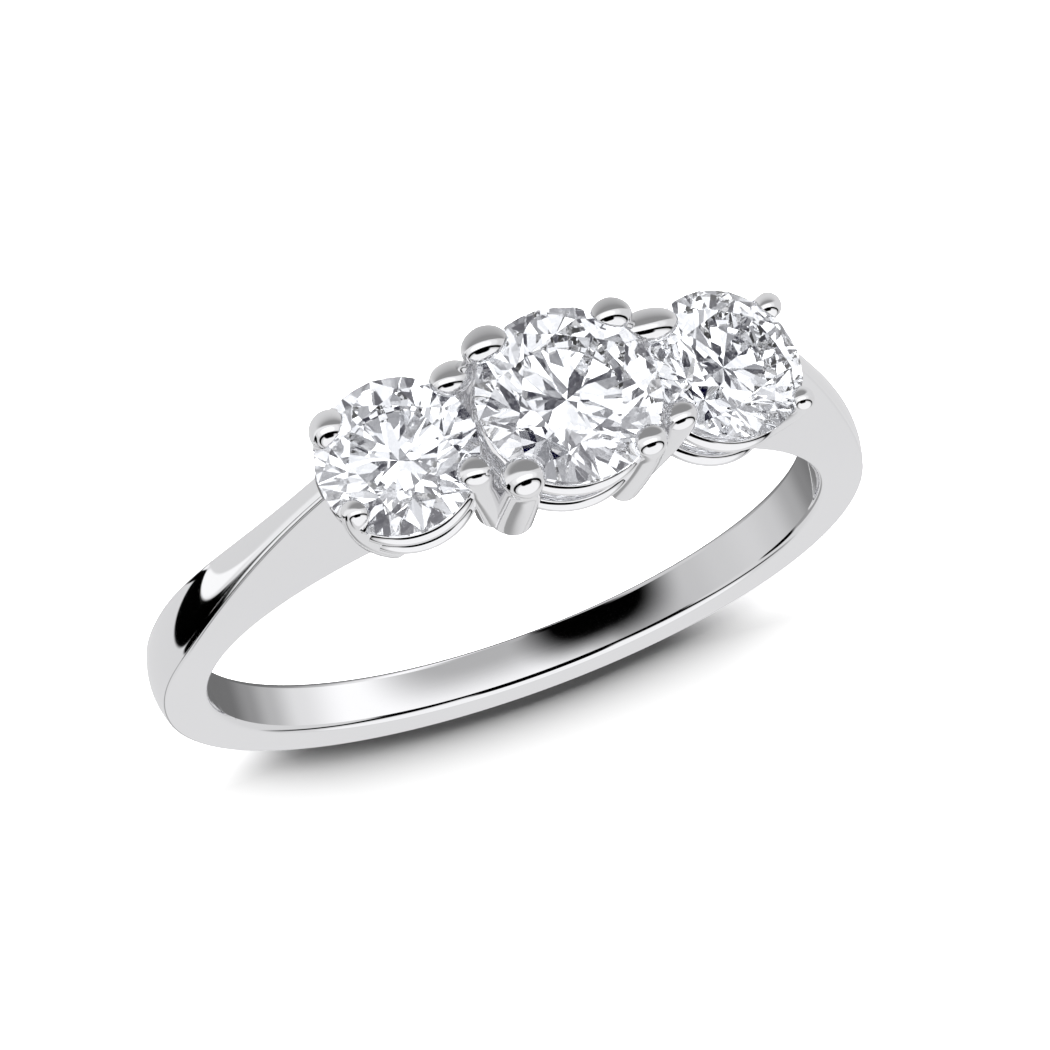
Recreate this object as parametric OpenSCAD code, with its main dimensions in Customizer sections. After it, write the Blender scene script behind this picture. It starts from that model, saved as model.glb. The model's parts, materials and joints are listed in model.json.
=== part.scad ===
// Three stone ring, lying on its side as it rests on a table.
// It is worked out upright: X along the row of stones, Y from the back of the band up through
// the head, Z along the finger, with the centre of the finger hole at the origin.
// The last step turns it over onto the plane that its claws and the back of its band touch.

/* [Finger hole] */
// Inside diameter of the band
bore_d = 17; // [15:0.1:20]

/* [Band] */
// Width of the band at the back
back_w = 1.42; // [1.2:0.02:1.8]
// Thickness of the band at the back
back_t = 1.6; // [1.3:0.05:2]
// Width of the band at its sides
side_w = 1.56; // [1.4:0.02:2]
// Thickness of the band at its sides
side_t = 1.4; // [1.2:0.05:1.8]
// Bevel where the side faces meet the finger hole
bore_bevel = 0.12; // [0.05:0.01:0.2]
// Radius of the outer edges
edge_r = 0.1; // [0.05:0.01:0.15]
// How far the outer face is crowned
crown_h = 0.14; // [0.05:0.01:0.25]

/* [Shoulders] */
// How far a shoulder runs in under the edge of its stone, as an angle
end_under = 0.4; // [0:0.1:1]
// Width of the band where a shoulder ends, at the finger hole
end_w = 1.72; // [1.4:0.02:2]
// Width of the ridge where a shoulder meets its stone
ridge_w = 0.46; // [0.4:0.02:0.8]
// How far a shoulder's ridge ends below the edge of its stone
ridge_below = 0.06; // [0:0.02:0.3]
// How late a shoulder rises, more is later
rise_power = 3.4; // [2:0.1:4.5]
// Angle from the back of the band where its outer face starts to narrow
pinch_angle = 104; // [95:1:115]

/* [Stones] */
// Diameter of the centre stone
centre_d = 4.5; // [4:0.05:4.7]
// Diameter of each side stone
side_d = 3.95; // [3.5:0.05:4.1]
// Height of the centre stone's girdle above the finger hole
centre_lift = 3.35; // [3.1:0.05:3.8]
// How far the side stones' girdles lie below it
side_drop = 0.9; // [0.6:0.05:1.1]
// Space between the stones along the row
stone_space = 0.03; // [0.02:0.01:0.2]
// Outward tilt of the side stones
side_tilt = 13; // [8:1:18]
// Space between a stone and the metal that holds it
seat_gap = 0.04; // [0.02:0.01:0.06]

/* [Cut of the stones] */
// Width of the table, as a share of the diameter
table_share = 0.57; // [0.52:0.01:0.62]
// Slope of the crown
crown_angle = 34.5; // [30:0.5:38]
// Slope of the pavilion
pavilion_angle = 40.8; // [39:0.1:43]
// Half of the girdle's thickness, as a share of the stone's radius
girdle_share = 0.04; // [0.03:0.005:0.06]

/* [Claws] */
// Thickness of a claw's stem
claw_d = 0.7; // [0.6:0.01:0.8]
// Diameter of the bead at a claw's tip
bead_d = 0.88; // [0.75:0.01:0.95]
// How far outside its girdle a bead of the centre stone is centred
centre_bead_out = 0.12; // [0.05:0.01:0.2]
// The same for the side stones
side_bead_out = 0.04; // [0.02:0.01:0.15]
// How far above the girdle a bead is centred
bead_up = 0.26; // [0.2:0.01:0.4]
// Angle of the centre stone's claws from the row
centre_claw_angle = 48; // [42:1:52]
// Angle of the side stones' claws from the row
side_claw_angle = 39; // [34:1:46]

/* [Feet of the claws] */
// Place of the centre claws' feet along the row, as a share of the stone's radius
centre_foot_along = 0.6; // [0.55:0.01:0.7]
// The same, along the finger
centre_foot_across = 0.62; // [0.55:0.01:0.7]
// How much of a claw's thickness lies between a centre foot and the foot soldered against it
foot_pitch = 0.9; // [0.75:0.05:0.95]
// How deep the outer feet are sunk into the ends of the shoulders
foot_sink = 0.15; // [0.1:0.01:0.25]

/* [Gallery rails] */
// Thickness of a rail
rail_d = 0.44; // [0.38:0.01:0.48]
// Depth of the upper rails below the girdle
upper_depth = 0.76; // [0.72:0.02:0.84]
// How far an upper rail lies inside the girdle
upper_in = 0.22; // [0.16:0.01:0.26]
// Depth of the centre stone's lower rail
centre_lower_depth = 2.1; // [1.8:0.05:2.2]
// Depth of the side stones' lower rails
side_lower_depth = 1.8; // [1.6:0.05:2]
// How far a lower rail lies inside the girdle
lower_in = 0.34; // [0.28:0.01:0.5]

/* [Hidden] */

bore_r = bore_d / 2;
centre_r = centre_d / 2;
side_r = side_d / 2;

// Where the side stones' girdles are centred
centre_y = bore_r + centre_lift;
side_y = centre_y - side_drop;
side_x = centre_r + side_r * cos(side_tilt) + stone_space;

// The outer edge of a side stone, which its shoulder rises to meet
edge_x = side_x + side_r * cos(side_tilt);
edge_y = side_y - side_r * sin(side_tilt);
end_angle = atan2(edge_x, edge_y) - end_under;
ridge_rise = norm([edge_x, edge_y]) - ridge_below - bore_r - side_t;

// The centre claws' feet, and a side stone's inner feet set against them, aslant
centre_foot_x = centre_foot_along * centre_r;
centre_foot_z = centre_foot_across * centre_r;
inner_foot_x = centre_foot_x + foot_pitch * claw_d * cos(45);
inner_foot_z = centre_foot_z - foot_pitch * claw_d * sin(45);
// The outer feet, at the corners of a shoulder's end
outer_foot_angle = end_angle - (claw_d / 2 - foot_sink) / bore_r * 180 / PI;
outer_foot_x = bore_r * sin(outer_foot_angle);
outer_foot_z = end_w / 2;

// Half the thickness and the sides of a rail's outline
rail_r = rail_d / 2;
rail_sides = 8;
// The band and the claws' feet are drawn this far into the finger hole and then bored
bore_under = 0.25;
foot_under = 0.3;
bore_length = 2 * (centre_d + bead_d);
// Sides given to the curves that are true circles
circle_sides = 128;

// Sections from the end of one shoulder to the end of the other
band_steps = 72;
band_end = 180 - end_angle;
// Points round an outer edge and across half of the outer face
edge_steps = 2;
face_steps = 2;

// Rings and sides of a claw
claw_steps = 9;
claw_sides = 10;
bead_steps = 4;
// How far below the girdle a claw starts to lean towards its foot
lean_depth = 1.1;
// How firmly a claw's curve holds its direction at its foot and at its girdle
foot_hold = 0.5;
girdle_hold = 0.4;
// Step along a claw's curve over which its direction is measured
curve_probe = 0.02;
// Angle round the bead at which its small flat tip starts
bead_end = 84;
// Share of a claw's length at which it starts to swell into its bead
swell_from = 0.72;

// Facets: eight kites round a stone, and four girdle points to each
kites = 8;
girdle_points = 32;
points_per_kite = girdle_points / kites;
// How far the stars reach from the table's edge to the girdle
star_share = 0.5;
// How far the lower halves reach from the girdle to the middle
lower_half_share = 0.78;

white_metal = [0.86, 0.86, 0.87];
clear_stone = [0.93, 0.96, 1];

function ease(t) = let (c = min(1, max(0, t))) (1 - cos(180 * c)) / 2;
function mix(from, to, share) = from + (to - from) * share;
function unit(v) = v / norm(v);

// Half the band's width at the finger hole, a degrees from the back
function half_w(a) = a < 90
    ? mix(back_w, side_w, ease(a / 90)) / 2
    : mix(side_w, end_w, ease((a - 90) / (band_end - 90))) / 2;

// Half the width of the outer face, from edge to edge
function face_w(a) = let (at_sides = half_w(min(a, pinch_angle)) - edge_r)
    mix(at_sides, ridge_w / 2, ease((a - pinch_angle) / (band_end - pinch_angle)));

// Radius of the outer face
function outer_r(a) = bore_r
    + (a < 90 ? mix(back_t, side_t, ease(a / 90)) : side_t)
    + ridge_rise * pow(max(0, a - 90) / (band_end - 90), rise_power);

// Half of a section as [radius, z], from inside the finger hole to the middle of the outer face
function half_section(a) = let (
        w = half_w(a), f = face_w(a), r = outer_r(a),
        crown = crown_h * f / (side_w / 2),
        e = r - crown - edge_r)
    concat(
        [[bore_r - bore_under, w - bore_bevel - bore_under],
         [bore_r + bore_bevel, w]],
        [for (i = [0 : edge_steps])
            [e + edge_r * sin(90 * i / edge_steps), f + edge_r * cos(90 * i / edge_steps)]],
        [for (i = [1 : face_steps])
            let (z = f * (1 - i / face_steps)) [r - crown * pow(z / f, 2), z]]);

// The whole section, clockwise seen from the end of the sweep
function section(a) = let (h = half_section(a), n = len(h))
    concat(h, [for (i = [n - 2 : -1 : 0]) [h[i][0], -h[i][1]]]);

// Flat cap over a ring of n points that starts at point s, laid to and fro across the ring
function cap(n, s) = [for (j = [0 : n - 3]) let (i = floor(j / 2), k = n - 1 - i)
    j % 2 == 0 ? [s + i, s + i + 1, s + k] : [s + i + 1, s + k - 1, s + k]];

// Skin over rings of equally many points, closed by a cap at each end
module skin(rings) {
    n = len(rings[0]);
    m = len(rings);
    polyhedron(
        points = [for (ring = rings) each ring],
        faces = concat(
            cap(n, 0),
            [for (i = [0 : m - 2], j = [0 : n - 1]) let (k = (j + 1) % n)
                each [[i * n + j, (i + 1) * n + j, (i + 1) * n + k],
                      [i * n + j, (i + 1) * n + k, i * n + k]]],
            [for (f = cap(n, (m - 1) * n)) [f[2], f[1], f[0]]]));
}

// Band and shoulders: the section carried round the finger
module band() {
    skin([for (i = [0 : band_steps]) let (a = mix(-band_end, band_end, i / band_steps))
        [for (p = section(abs(a))) [p[0] * sin(a), -p[0] * cos(a), p[1]]]]);
}

// A point of a stone's own frame, with y along its axis. side is -1, 0 or 1
function stone_r(side) = side == 0 ? centre_r : side_r;
function claw_circle(side) = stone_r(side) + (side == 0 ? centre_bead_out : side_bead_out);
function in_ring(side, p) = let (t = side * side_tilt)
    [side * side_x + p[0] * cos(t) + p[1] * sin(t),
     (side == 0 ? centre_y : side_y) - p[0] * sin(t) + p[1] * cos(t),
     p[2]];

module at_stone(side) {
    translate([side * side_x, side == 0 ? centre_y : side_y, 0])
        rotate([0, 0, -side * side_tilt])
            rotate([-90, 0, 0])
                children();
}

function bezier(p, t) = pow(1 - t, 3) * p[0] + 3 * t * pow(1 - t, 2) * p[1]
    + 3 * t * t * (1 - t) * p[2] + pow(t, 3) * p[3];

// A ring of points round centre c, square to the direction d
function ring_round(c, d, r) = let (
        u = unit(cross(d, [1, 0, 0])), v = cross(d, u))
    [for (j = [0 : claw_sides - 1]) let (q = 360 * j / claw_sides)
        c + r * (cos(q) * u + sin(q) * v)];

// A claw: a stem along a curve from its foot, swelling into a round bead
module claw(curve) {
    tip_d = unit(curve[3] - curve[2]);
    skin(concat(
        [for (i = [0 : claw_steps]) let (
                t = i / claw_steps,
                d = unit(bezier(curve, min(1, t + curve_probe)) - bezier(curve, max(0, t - curve_probe))),
                swell = ease((t - swell_from) / (1 - swell_from)))
            ring_round(bezier(curve, t), d, mix(claw_d, bead_d, swell) / 2)],
        [for (i = [1 : bead_steps]) let (q = bead_end * i / bead_steps)
            ring_round(curve[3] + bead_d / 2 * sin(q) * tip_d, tip_d, bead_d / 2 * cos(q))]));
}

// The four claws of one stone. foot_x is where the feet stand, left and right of the middle
module claws(side, angle, feet) {
    r = claw_circle(side);
    for (along = [-1, 1], across = [-1, 1]) {
        foot = feet[(along + 1) / 2];
        x = along * cos(angle) * r;
        z = across * sin(angle) * r;
        start = [foot[0], sqrt(pow(bore_r, 2) - pow(foot[0], 2)) - foot_under, across * foot[1]];
        lean = in_ring(side, [x, -lean_depth, z]);
        claw([start,
              mix(start, lean, foot_hold),
              mix(in_ring(side, [x, 0, z]), lean, girdle_hold),
              in_ring(side, [x, bead_up, z])]);
    }
}

// The two round rails that join a stone's claws
module rails(side) {
    lower_depth = side == 0 ? centre_lower_depth : side_lower_depth;
    for (at = [[upper_depth, upper_in], [lower_depth, lower_in]])
        at_stone(side)
            rotate_extrude($fn = circle_sides)
                translate([stone_r(side) - at[1], -at[0]])
                    rotate(180 / rail_sides)
                        circle(rail_r / cos(180 / rail_sides), $fn = rail_sides);
}

// Height of the plane through points a, b and c at the place [x, y]
function plane_z(a, b, c, x, y) = let (n = cross(b - a, c - a))
    a[2] - (n[0] * (x - a[0]) + n[1] * (y - a[1])) / n[2];
function round_at(angle, r, z) = [r * cos(angle), r * sin(angle), z];

// One side of a cut stone of radius r: its slope, its inner radius, its halves' tips and its girdle
function tip_r(r, inner, share) = let (flat = inner * cos(180 / kites)) flat + share * (r - flat);
function slope_z(r, slope, at) = r * girdle_share + (r - at) * tan(slope);
function half_tip(k, r, slope, at) = round_at(360 * (k + 0.5) / kites, at,
    slope_z(r, slope, at * cos(180 / kites)));
function girdle_at(j, r, slope, at) = let (
        k = floor(j / points_per_kite), near = 2 * floor(j / 2),
        here = round_at(360 * j / girdle_points, r, r * girdle_share),
        one = round_at(360 * near / girdle_points, r, r * girdle_share),
        two = round_at(360 * (near + 2) / girdle_points, r, r * girdle_share))
    j % 2 == 0 ? here
        : [here[0], here[1], plane_z(half_tip(k, r, slope, at), one, two, here[0], here[1])];
function under(p) = [p[0], p[1], -p[2]];

// Round brilliant of radius r, its girdle round the origin and its table towards +Z
module brilliant(r) {
    table_r = table_share * r;
    star_r = tip_r(r, table_r, star_share);
    half_r = (1 - lower_half_share) * r;
    n = kites;
    g = girdle_points;
    upper = 2 * n;
    lower = upper + g;
    halves = lower + g;
    culet = halves + n;
    polyhedron(
        points = concat(
            [for (k = [0 : n - 1]) round_at(360 * k / n, table_r, slope_z(r, crown_angle, table_r))],
            [for (k = [0 : n - 1]) half_tip(k, r, crown_angle, star_r)],
            [for (j = [0 : g - 1]) girdle_at(j, r, crown_angle, star_r)],
            [for (j = [0 : g - 1]) under(girdle_at(j, r, pavilion_angle, half_r))],
            [for (k = [0 : n - 1]) under(half_tip(k, r, pavilion_angle, half_r))],
            [[0, 0, -slope_z(r, pavilion_angle, 0)]]),
        faces = concat(
            [[for (k = [n - 1 : -1 : 0]) k]],
            [for (k = [0 : n - 1]) let (
                    next = (k + 1) % n, prev = (k + n - 1) % n,
                    main = points_per_kite * k, mid = main + 2, end = points_per_kite * next)
                each [
                    [k, next, n + k],
                    [k, n + k, upper + main, n + prev],
                    [n + k, upper + mid, upper + main + 1, upper + main],
                    [n + k, upper + end, upper + main + 3, upper + mid],
                    [culet, halves + prev, lower + main, halves + k],
                    [halves + k, lower + main, lower + main + 1, lower + mid],
                    [halves + k, lower + mid, lower + main + 3, lower + end]]],
            [for (j = [0 : g - 1]) let (next = (j + 1) % g)
                [upper + j, upper + next, lower + next, lower + j]]));
}

// A stone in its place, grown all round by the given space
module stone(side, space = 0) {
    at_stone(side)
        scale(1 + space / (stone_r(side) * sin(pavilion_angle)))
            brilliant(stone_r(side));
}

module ring_metal() {
    difference() {
        union() {
            band();
            claws(0, centre_claw_angle,
                [[-centre_foot_x, centre_foot_z], [centre_foot_x, centre_foot_z]]);
            claws(1, side_claw_angle,
                [[inner_foot_x, inner_foot_z], [outer_foot_x, outer_foot_z]]);
            claws(-1, side_claw_angle,
                [[-outer_foot_x, outer_foot_z], [-inner_foot_x, inner_foot_z]]);
            for (side = [-1, 0, 1]) rails(side);
        }
        for (side = [-1, 0, 1]) stone(side, seat_gap);
        cylinder(r = bore_r, h = bore_length, center = true, $fn = circle_sides);
    }
}

// The ring rests on its centre claws and the back of its band, head towards -Y
claw_reach = sin(centre_claw_angle) * claw_circle(0) + bead_d / 2;
rest_tilt = atan((claw_reach - back_w / 2) / (centre_y + bead_up + bore_r + back_t));
module at_rest() {
    rotate([-rest_tilt, 0, 0])
        rotate([0, 0, 180])
            children();
}

module mount() { color(white_metal) at_rest() ring_metal(); }
module centre_stone() { color(clear_stone) at_rest() stone(0); }
module left_stone() { color(clear_stone) at_rest() stone(-1); }
module right_stone() { color(clear_stone) at_rest() stone(1); }

mount();
centre_stone();
left_stone();
right_stone();
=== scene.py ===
# %% [markdown]
# A three stone ring: a polished white metal band whose shoulders rise to a ridge, and three round
# brilliants in beaded claws on gallery rails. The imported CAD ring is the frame. Its stones stay as
# they are, because their facets are true planes already. Its metal is made again here as smooth
# surfaces, because a mirror polish shows every facet of a coarse mesh.

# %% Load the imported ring
import json

import bpy
import numpy as np
from mathutils import Matrix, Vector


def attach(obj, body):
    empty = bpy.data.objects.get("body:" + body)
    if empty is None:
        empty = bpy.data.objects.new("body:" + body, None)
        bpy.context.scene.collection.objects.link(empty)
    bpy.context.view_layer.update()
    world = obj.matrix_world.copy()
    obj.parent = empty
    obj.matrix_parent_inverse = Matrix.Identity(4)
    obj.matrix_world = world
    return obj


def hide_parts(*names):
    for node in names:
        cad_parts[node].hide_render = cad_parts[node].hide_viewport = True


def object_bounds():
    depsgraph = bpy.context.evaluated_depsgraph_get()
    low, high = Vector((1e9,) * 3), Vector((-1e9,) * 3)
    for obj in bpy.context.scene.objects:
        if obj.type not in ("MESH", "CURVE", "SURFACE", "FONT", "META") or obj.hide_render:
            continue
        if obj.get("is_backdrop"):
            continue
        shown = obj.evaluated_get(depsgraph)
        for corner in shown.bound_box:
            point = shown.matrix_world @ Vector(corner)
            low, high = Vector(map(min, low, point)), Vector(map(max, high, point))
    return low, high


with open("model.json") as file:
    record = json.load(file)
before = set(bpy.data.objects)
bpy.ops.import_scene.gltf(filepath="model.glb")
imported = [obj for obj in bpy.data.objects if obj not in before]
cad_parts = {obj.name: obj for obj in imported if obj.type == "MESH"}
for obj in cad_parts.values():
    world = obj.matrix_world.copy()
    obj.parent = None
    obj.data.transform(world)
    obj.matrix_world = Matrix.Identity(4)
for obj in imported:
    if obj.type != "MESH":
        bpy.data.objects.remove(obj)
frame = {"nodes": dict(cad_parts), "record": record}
CAD_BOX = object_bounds()
MM = 0.001
print("packed ring, in mm:", [round(float(v) / MM, 2) for corner in CAD_BOX for v in corner])

# %% [markdown]
# The ring lies on its side, but it is easier to shape upright. Its own frame has x along the row
# of stones, y from the back of the band up through the centre stone and z along the finger, in
# millimetres. One rotation, read from the finger hole in the record, lays it down. It could be
# typed in as an angle, but then it would have to be changed by hand with the CAD.

# %% The ring's own frame
HOLE = frame["record"]["mounts"][0]
BORE_R = HOLE["dims"]["r_mm"]
_, AXIS_Y, AXIS_Z = HOLE["axis"]
LAY_DOWN = np.array([[-1, 0, 0], [0, -AXIS_Z, AXIS_Y], [0, AXIS_Y, AXIS_Z]])


def on_table(points):
    """Ring frame in millimetres to table frame in metres: the rotation LAY_DOWN, then a scale."""
    return points @ LAY_DOWN.T * MM


hole_lean = float(np.degrees(np.arcsin(AXIS_Y)))
print("finger hole", 2 * BORE_R, "mm, leaning", round(hole_lean, 2), "degrees")

# %% [markdown]
# The camera stands where the photograph was taken from: on the stones' side, low over the table
# and rolled, so that the row of stones climbs to the right. A macro lens from ten centimetres
# gives the same perspective. Angles round the ring are used here in place of a matrix, because
# each of them can be read and changed.

# %% Camera
VIEW_TARGET = np.array([-0.761, -0.559, -0.894]) * MM
VIEW_DISTANCE = 100 * MM
VIEW_AZIMUTH = 14.49
VIEW_ELEVATION = 21.42
VIEW_ROLL = 158.51
SENSOR = 36
LENS = 129.3
NEAREST = 5 * MM


def towards(azimuth, elevation):
    """Unit vector from the ring: azimuth in degrees from -Y to +X, elevation above the table."""
    a, e = np.radians(azimuth), np.radians(elevation)
    return np.array([np.sin(a) * np.cos(e), -np.cos(a) * np.cos(e), np.sin(e)])


def facing(back, roll=0.0):
    """Axes of something whose -Z looks against back, upright and then turned by roll degrees."""
    right = np.cross([0, 0, 1], back)
    right = right / np.linalg.norm(right)
    up = np.cross(back, right)
    c, s = np.cos(np.radians(roll)), np.sin(np.radians(roll))
    return np.array([c * right + s * up, c * up - s * right, back]).T


def placed(thing, where, axes):
    """Puts a camera or a lamp at a point, with the given axes."""
    turned = Matrix(axes.tolist()).to_4x4()
    thing.matrix_world = Matrix.Translation([float(v) for v in where]) @ turned
    bpy.context.scene.collection.objects.link(thing)
    return thing


view = bpy.data.cameras.new("camera")
view.sensor_width = SENSOR
view.lens = LENS
view.clip_start = NEAREST
eye = towards(VIEW_AZIMUTH, VIEW_ELEVATION)
camera = placed(bpy.data.objects.new("camera", view),
                VIEW_TARGET + VIEW_DISTANCE * eye, facing(eye, VIEW_ROLL))
bpy.context.scene.camera = camera
print("camera at", [round(v / MM, 1) for v in camera.location], "mm")

# %% [markdown]
# Every metal piece is a skin over rows of points: a profile whose place and size change along a
# path. The rows are computed as whole arrays, and one helper turns such a grid into a closed mesh.
# Extruding by hand would give the same quads, but no formula to check against the CAD.

# %% Grid to mesh
def grid_faces(rows, columns, start, turned):
    """Quads between row i and i+1, with columns closed in a ring. turned closes the rows too."""
    i = np.arange(rows if turned else rows - 1)[:, None]
    j = np.arange(columns)[None, :]
    k, i1 = (j + 1) % columns, (i + 1) % rows
    here, there = i * columns, i1 * columns
    quads = np.stack([here + j, here + k, there + k, there + j], axis=-1)
    return quads.reshape(-1, 4) + start


def cap_faces(row, middle, columns):
    """Triangles from a row's edge to a middle point."""
    j = np.arange(columns)
    return np.stack([row + (j + 1) % columns, row + j, np.full(columns, middle)], axis=-1)


def closed_skin(grid, turned=False):
    """One closed surface from a grid of shape (rows, columns, 3): its points, quads and triangles.

    Open ends get a middle point each. The signed volume, the sum of a . (b x c) / 6 over all
    triangles, tells whether the faces point outwards, and they are turned round if they don't.
    """
    rows, columns, _ = grid.shape
    points = grid.reshape(-1, 3)
    quads = grid_faces(rows, columns, 0, turned)
    caps = np.zeros((0, 3), int)
    if not turned:
        points = np.vstack([points, grid[0].mean(axis=0), grid[-1].mean(axis=0)])
        first = cap_faces(0, rows * columns, columns)
        last = cap_faces((rows - 1) * columns, rows * columns + 1, columns)[:, ::-1]
        caps = np.vstack([first, last])
    flat = np.vstack([quads[:, [0, 1, 2]], quads[:, [0, 2, 3]], caps])
    a, b, c = (points[flat[:, n]] for n in range(3))
    if np.einsum("ij,ij->i", a, np.cross(b, c)).sum() < 0:
        quads, caps = quads[:, ::-1], caps[:, ::-1]
    return points, quads, caps


def metal_piece(name, skins, flat_ends=False):
    """Joins closed skins into one smooth mesh object, laid on the table. Flat ends stay flat."""
    points, faces, smooth, start = [], [], [], 0
    for skin_points, quads, caps in skins:
        points.append(skin_points)
        faces += (quads + start).tolist() + (caps + start).tolist()
        smooth += [True] * len(quads) + [not flat_ends] * len(caps)
        start += len(skin_points)
    mesh = bpy.data.meshes.new(name)
    mesh.from_pydata(on_table(np.vstack(points)).tolist(), [], faces)
    mesh.polygons.foreach_set("use_smooth", smooth)
    mesh.update()
    piece = bpy.data.objects.new(name, mesh)
    bpy.context.scene.collection.objects.link(piece)
    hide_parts("mount")
    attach(piece, "root")
    print(name, len(mesh.polygons), "faces")
    return piece


print("3 rows of 4 points make", len(grid_faces(3, 4, 0, False)), "quads")

# %% [markdown]
# The stones come first in a setter's mind, because the claws, the rails and the shoulders are all
# fitted to them. The side stones are smaller, sit lower and tilt outwards. Each stone has a frame
# of its own, with y along its axis and its girdle round the origin, so one formula fits all three.

# %% Where the stones sit
STONES = ("left_stone", "centre_stone", "right_stone")
SIDES = (-1, 0, 1)
CENTRE_R, SIDE_R = 2.25, 1.975
CENTRE_LIFT, SIDE_DROP = 3.35, 0.9
SIDE_TILT = np.radians(13)
STONE_SPACE = 0.03
CENTRE_Y = BORE_R + CENTRE_LIFT
SIDE_Y = CENTRE_Y - SIDE_DROP
SIDE_X = CENTRE_R + SIDE_R * np.cos(SIDE_TILT) + STONE_SPACE


def stone_place(side):
    """Radius, x and y of the girdle's middle and tilt of a stone: side is -1, 0 or 1."""
    if side == 0:
        return CENTRE_R, 0, CENTRE_Y, 0
    return SIDE_R, side * SIDE_X, SIDE_Y, side * SIDE_TILT


def from_stone(side, points):
    """Stone frame to ring frame: turned by the tilt about z, then moved to the girdle's middle."""
    _, x, y, tilt = stone_place(side)
    c, s = np.cos(tilt), np.sin(tilt)
    p, q, z = np.moveaxis(np.asarray(points, float), -1, 0)
    return np.stack([x + c * p + s * q, y - s * p + c * q, z], axis=-1)


def to_stone(side, points):
    """Ring frame to stone frame, the inverse of from_stone."""
    _, x, y, tilt = stone_place(side)
    c, s = np.cos(tilt), np.sin(tilt)
    dx, dy, z = points[..., 0] - x, points[..., 1] - y, points[..., 2]
    return np.stack([c * dx - s * dy, s * dx + c * dy, z], axis=-1)


for stone_side in SIDES:
    print("girdle", stone_side, "at", from_stone(stone_side, [0, 0, 0]).round(2), "mm")

# %% [markdown]
# A setter cuts a seat for each stone into the metal that reaches it, and reams the finger hole.
# Here each of these is one step on whole arrays: a point that lies where metal must not be is
# pushed straight out. A boolean would cut too, but it leaves uneven triangles, and a mirror polish
# shows each of them.

# %% Seats and finger hole
CROWN_ANGLE, PAVILION_ANGLE = np.radians(34.5), np.radians(40.8)
GIRDLE_SHARE = 0.04
SEAT_GAP = 0.04
TINY = 1e-9


def cut_seat(side, points):
    """Pushes points out of the seat cut for a stone.

    The seat is the stone grown by SEAT_GAP: a girdle cylinder between a crown cone and a pavilion
    cone. At height h its radius is the least of r + gap, r + gap' - (h - g) / tan(crown) and
    r + gap' - (-h - g) / tan(pavilion). A point nearer the axis than that moves straight out to it.
    """
    r = stone_place(side)[0]
    p = to_stone(side, points)
    g = r * GIRDLE_SHARE
    h = p[..., 1]
    seat = np.full(h.shape, r + SEAT_GAP)
    for height, slope in ((h, CROWN_ANGLE), (-h, PAVILION_ANGLE)):
        seat = np.minimum(seat, r + SEAT_GAP / np.sin(slope) - (height - g) / np.tan(slope))
    reach = np.hypot(p[..., 0], p[..., 2])
    inside = (reach < seat) & (seat > 0)
    grow = np.where(inside, seat / np.maximum(reach, TINY), 1)
    p[..., 0] *= grow
    p[..., 2] *= grow
    return np.where(inside[..., None], from_stone(side, p), points)


def bored(points):
    """Pushes points out of the finger hole: none is nearer the finger's axis than the bore."""
    reach = np.hypot(points[..., 0], points[..., 1])
    grow = np.where(reach < BORE_R, BORE_R / np.maximum(reach, TINY), 1)
    return np.stack([points[..., 0] * grow, points[..., 1] * grow, points[..., 2]], axis=-1)


moved = cut_seat(0, np.array([[0.01, CENTRE_Y, 0]]))[0]
print("a point in the middle of the centre stone moves out to", moved.round(2), "mm")

# %% [markdown]
# The band is a D section bent round the finger: flat inside, with upright sides, soft edges and a
# slightly crowned outer face. Towards the stones it gets taller, while its outer face is filed to
# a ridge. A smith forges and files this. Here the section's sizes are functions of the angle from
# the back of the band, so one formula gives the band and both shoulders with no seam between.

# %% Sizes of the band along its length
BACK_W, SIDE_W, END_W = 1.42, 1.56, 1.72
BACK_T, SIDE_T = 1.6, 1.4
EDGE_R = 0.1
RIDGE_W, RISE_POWER = 0.46, 3.4
PINCH_ANGLE = 104
END_UNDER, RIDGE_BELOW = 0.4, 0.06
SHOULDER_EDGE = from_stone(1, [SIDE_R, 0, 0])
END_ANGLE = np.degrees(np.arctan2(SHOULDER_EDGE[0], SHOULDER_EDGE[1])) - END_UNDER
BAND_END = 180 - END_ANGLE
RIDGE_RISE = np.linalg.norm(SHOULDER_EDGE[:2]) - RIDGE_BELOW - BORE_R - SIDE_T


def ease(t):
    """Half a cosine wave from 0 to 1."""
    return (1 - np.cos(np.pi * np.clip(t, 0, 1))) / 2


def mix(start, end, share):
    """Linear blend of two values or arrays."""
    return start + (end - start) * share


def past_side(angle):
    """0 up to the side of the band, then rising to 1 where the shoulder ends."""
    return np.clip(angle - 90, 0, None) / (BAND_END - 90)


def full_width(angle):
    """Width of the band: eased from the back to the side, and from there to the shoulder's end."""
    to_side = mix(BACK_W, SIDE_W, ease(angle / 90))
    to_end = mix(SIDE_W, END_W, ease(past_side(angle)))
    return np.where(angle < 90, to_side, to_end)


def band_sizes(angle):
    """Half width at the finger hole, half width of the outer face and outer radius, by angle."""
    pinched = ease((angle - PINCH_ANGLE) / (BAND_END - PINCH_ANGLE))
    unpinched = full_width(np.minimum(angle, PINCH_ANGLE)) / 2 - EDGE_R
    outer = BORE_R + mix(BACK_T, SIDE_T, ease(angle / 90))
    outer = outer + RIDGE_RISE * past_side(angle) ** RISE_POWER
    return full_width(angle) / 2, mix(unpinched, RIDGE_W / 2, pinched), outer


for place in (0, 90, BAND_END):
    section = [round(float(v), 3) for v in band_sizes(np.array(place))]
    print("section at", round(float(place)), "degrees:", section, "mm")

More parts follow.
